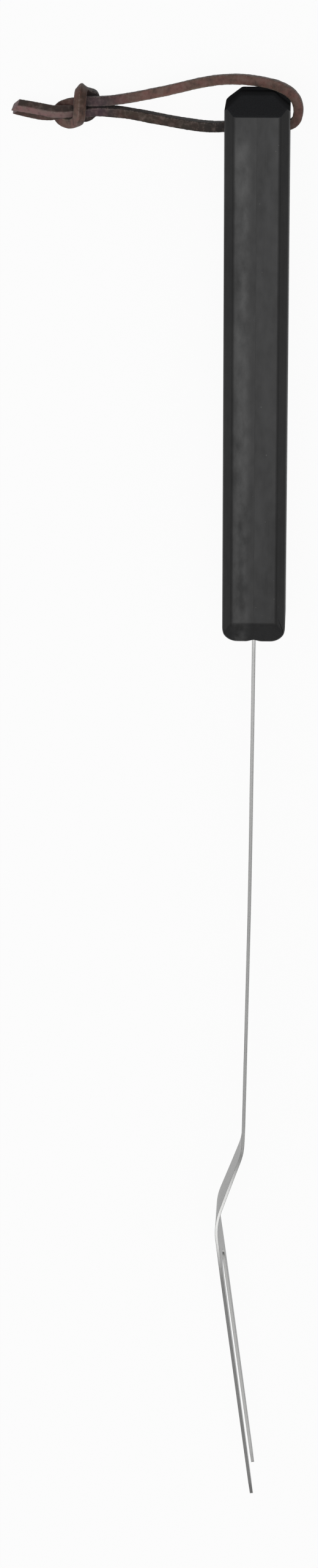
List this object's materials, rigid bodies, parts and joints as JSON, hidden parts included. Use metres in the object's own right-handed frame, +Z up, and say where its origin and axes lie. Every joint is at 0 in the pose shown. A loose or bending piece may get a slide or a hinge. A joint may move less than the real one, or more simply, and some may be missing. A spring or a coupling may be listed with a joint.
{
  "type": "flesh fork",
  "caption": "Long two-tined meat fork: one cranked steel sheet with its tang between two dark wooden handle scales, and a knotted leather hanging lace.",
  "frame": {"origin": "middle of the long flat narrow edge of the handle, the face that the fork lies on", "axes": "+Y along the handle towards its butt and the lace, -Y towards the tines, +X across the handle's thickness towards the side that the tines lean to, +Z up from the surface the fork lies on"},
  "size_m": [0.0894, 0.4833, 0.028],
  "materials": {
    "blade_steel": "satin",
    "pin_steel": "plain",
    "handle_wood": "black-stained, waxed",
    "lace_leather": "oiled"
  },
  "bodies": {
    "root": {"fork": "blade_steel", "handle_scale_left": "handle_wood", "handle_scale_right": "handle_wood", "tang_pin_front": "pin_steel", "tang_pin_rear": "pin_steel", "lace_right_run": "lace_leather", "lace_left_run": "lace_leather", "lace_knot": "lace_leather", "lace_tail_upper": "lace_leather", "lace_tail_lower": "lace_leather"}
  },
  "joints": []
}
